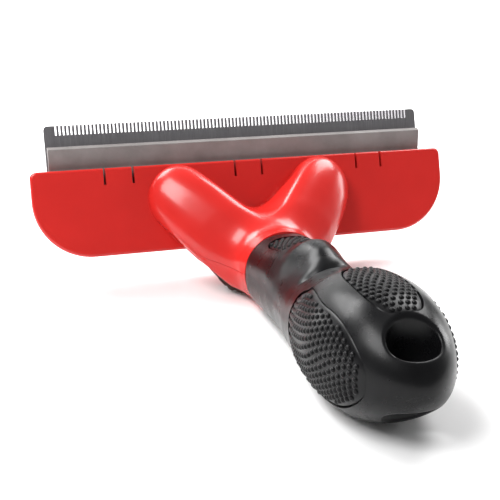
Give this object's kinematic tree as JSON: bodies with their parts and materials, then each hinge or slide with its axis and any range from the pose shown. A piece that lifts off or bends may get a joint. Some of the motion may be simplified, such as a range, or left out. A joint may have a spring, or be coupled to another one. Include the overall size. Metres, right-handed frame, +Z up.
{
  "type": "undercoat rake",
  "caption": "Pet undercoat rake: wide fine-toothed steel blade, spring-return hair ejector bar, red Y-shaped neck and studded black rubber grip.",
  "frame": {"origin": "centre of the bounding box in X and Y, on the plane the tool rests on when its grip lies flat", "axes": "+X along the blade to the right seen from the handle, +Y from the handle towards the blade, +Z up; the teeth point up and lean 17 degrees towards +Y"},
  "size_m": [0.1384, 0.1362, 0.049],
  "materials": {
    "steel": "fine vertical brushing, darker than the screws",
    "screw": "satin",
    "grey": "warm grey, satin",
    "red": "high gloss red",
    "black": "dark, satin",
    "rubber": "black, satin"
  },
  "bodies": {
    "rake_body": {"comb_blade": "steel", "head_plate": "red", "blade_cover": "red", "blade_screw_1": "screw", "blade_screw_2": "screw", "blade_screw_3": "screw", "blade_screw_4": "screw", "neck_upper_shell": "red", "neck_lower_shell": "red", "arm_screw_left": "screw", "arm_screw_right": "screw", "neck_screw_1": "screw", "neck_screw_2": "screw", "return_spring": "screw", "core_upper_half": "black", "core_lower_half": "black", "core_screw_1": "screw", "core_screw_2": "screw", "rubber_grip": "rubber", "top_stud_pad": "rubber", "front_stud_pad": "rubber", "left_stud_pad": "rubber", "right_stud_pad": "rubber"},
    "ejector": {"ejector_bar": "grey", "ejector_yoke": "black", "thumb_button": "black"}
  },
  "joints": [
    {"name": "ejector_slide", "type": "slide", "parent": "rake_body", "child": "ejector", "axis": [0, 0.2924, 0.9563], "range_m": [0, 0.005], "stiffness_N_per_m": 600, "springref_m": -0.003, "deforming": ["return_spring"]}
  ]
}
